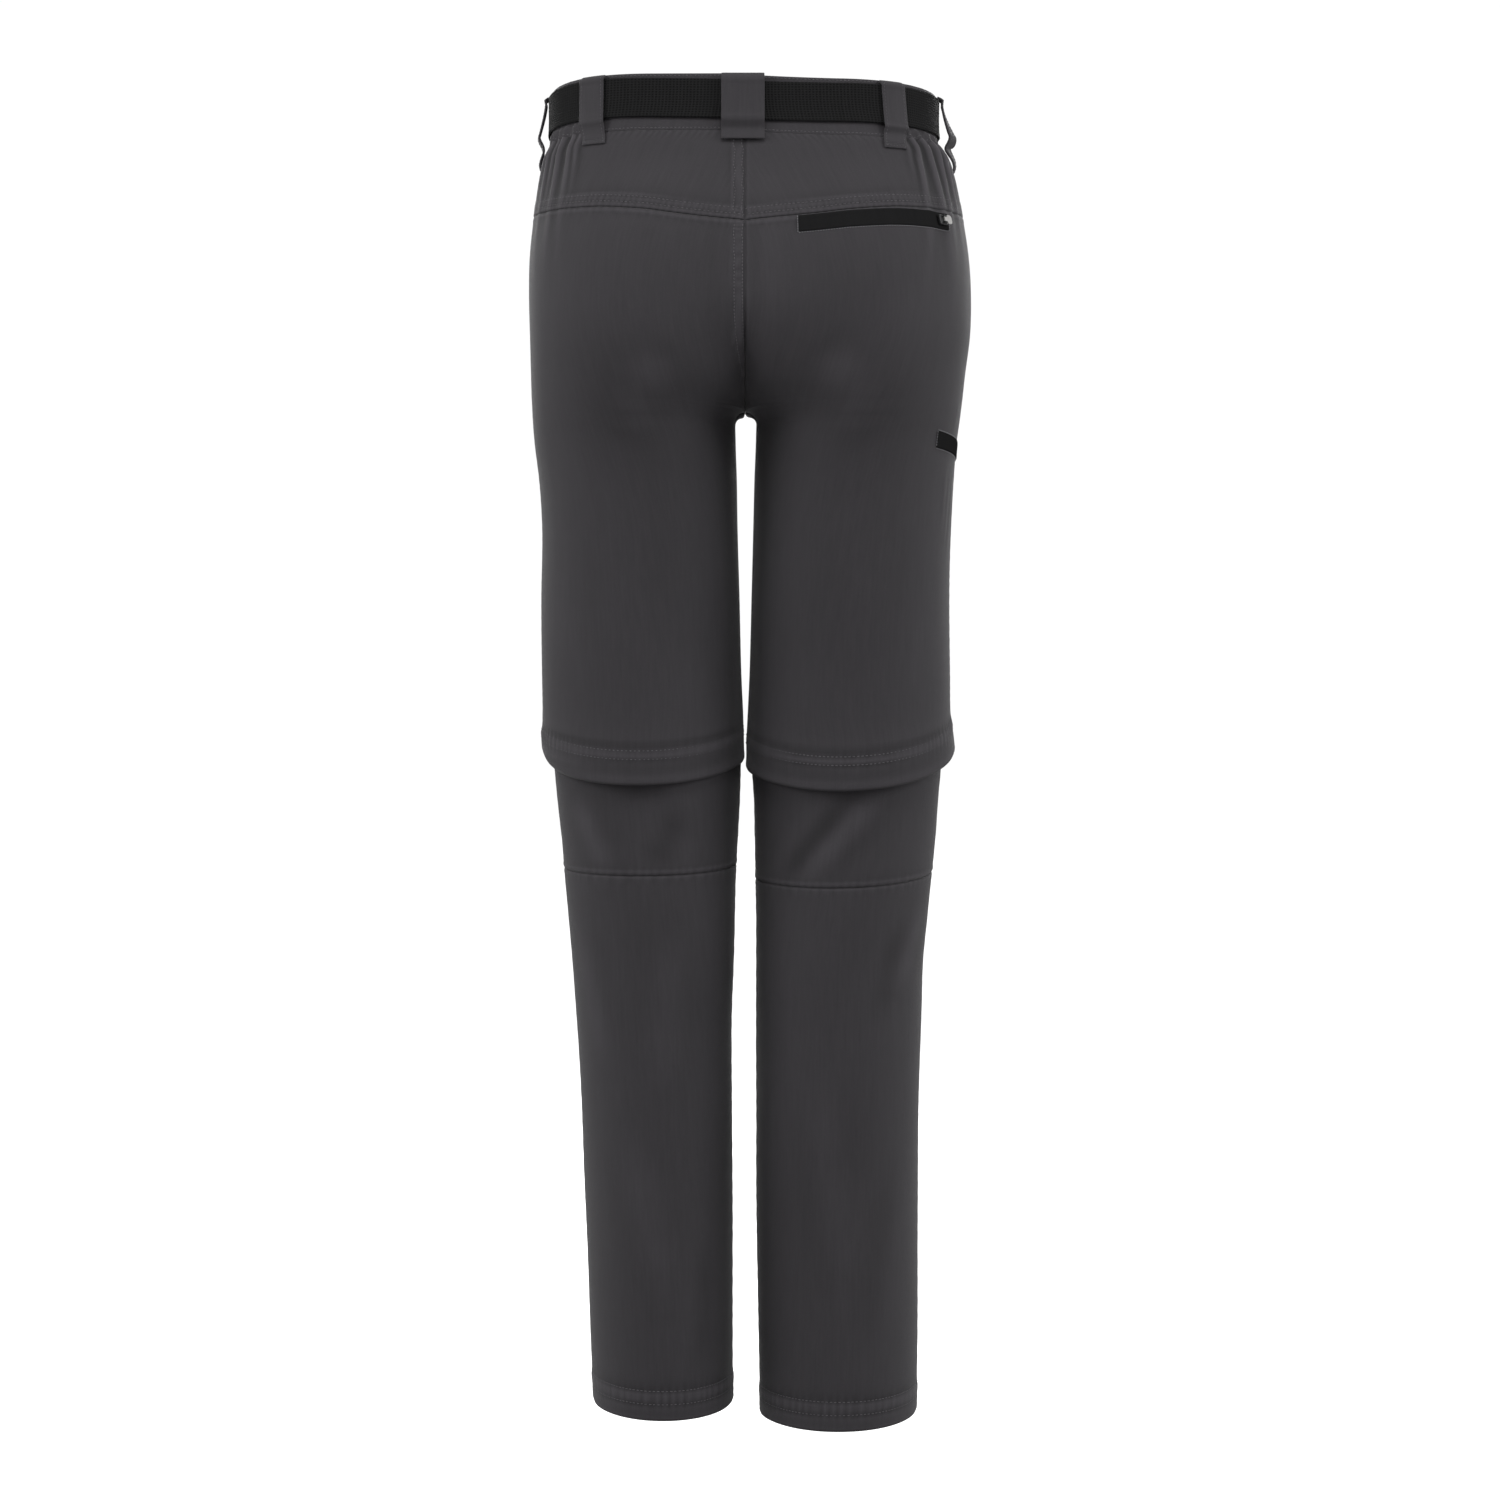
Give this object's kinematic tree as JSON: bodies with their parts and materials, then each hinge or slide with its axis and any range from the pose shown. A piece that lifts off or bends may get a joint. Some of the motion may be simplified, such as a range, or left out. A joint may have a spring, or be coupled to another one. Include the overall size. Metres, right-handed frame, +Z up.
{
  "type": "convertible zip-off trousers",
  "caption": "Hollow hiking trousers on an invisible standing figure, with lower legs that zip off under flaps, side elastic, webbing belt, belt loops and black pocket zips.",
  "frame": {"origin": "middle of the waist, level with the waistband's upper edge at the side seams, where the wearer holds it up", "axes": "+Z up, wearer's front faces -Y, wearer's left is +X"},
  "size_m": [0.344, 0.2518, 1.0272],
  "materials": {
    "cloth": "charcoal grey stretch woven cloth with a soft sheen",
    "webbing": "black woven belt webbing",
    "zip_tape": "black coated zip tape",
    "black_metal": "black lacquered metal",
    "bright_metal": "bright brushed metal"
  },
  "bodies": {
    "trousers": {"back_panel_left": "cloth", "back_panel_right": "cloth", "back_pocket_slider": "black_metal", "back_pocket_zip": "zip_tape", "back_yoke_left": "cloth", "back_yoke_right": "cloth", "belt": "webbing", "belt_buckle": "black_metal", "belt_loop_centre_back": "cloth", "belt_loop_front_left": "cloth", "belt_loop_front_right": "cloth", "belt_loop_rear_left": "cloth", "belt_loop_rear_right": "cloth", "belt_loop_side_left": "cloth", "belt_loop_side_right": "cloth", "fly_placket": "cloth", "front_panel_left": "cloth", "front_panel_right": "cloth", "knee_band_back_left": "cloth", "knee_band_back_right": "cloth", "knee_band_front_left": "cloth", "knee_band_front_right": "cloth", "leg_zip_left": "zip_tape", "leg_zip_right": "zip_tape", "lower_leg_back_left": "cloth", "lower_leg_back_right": "cloth", "lower_leg_front_left": "cloth", "lower_leg_front_right": "cloth", "thigh_pocket_slider": "black_metal", "thigh_pocket_zip": "zip_tape", "waist_snap": "black_metal", "waistband_back": "cloth", "waistband_front_left": "cloth", "waistband_front_right": "cloth"},
    "back_pull": {"back_pocket_pull": "bright_metal"},
    "thigh_pull": {"thigh_pocket_pull": "bright_metal"}
  },
  "joints": [
    {"name": "back_pull_hinge", "type": "hinge", "parent": "trousers", "child": "back_pull", "pos_m": [-0.1506, 0.09582, -0.10707], "axis": [-0.2013, 0.1466, -0.9685], "range_deg": [0, 165]},
    {"name": "thigh_pull_hinge", "type": "hinge", "parent": "trousers", "child": "thigh_pull", "pos_m": [-0.15757, -0.05484, -0.27902], "axis": [0.0729, 0.1086, -0.9914], "range_deg": [0, 165]}
  ]
}
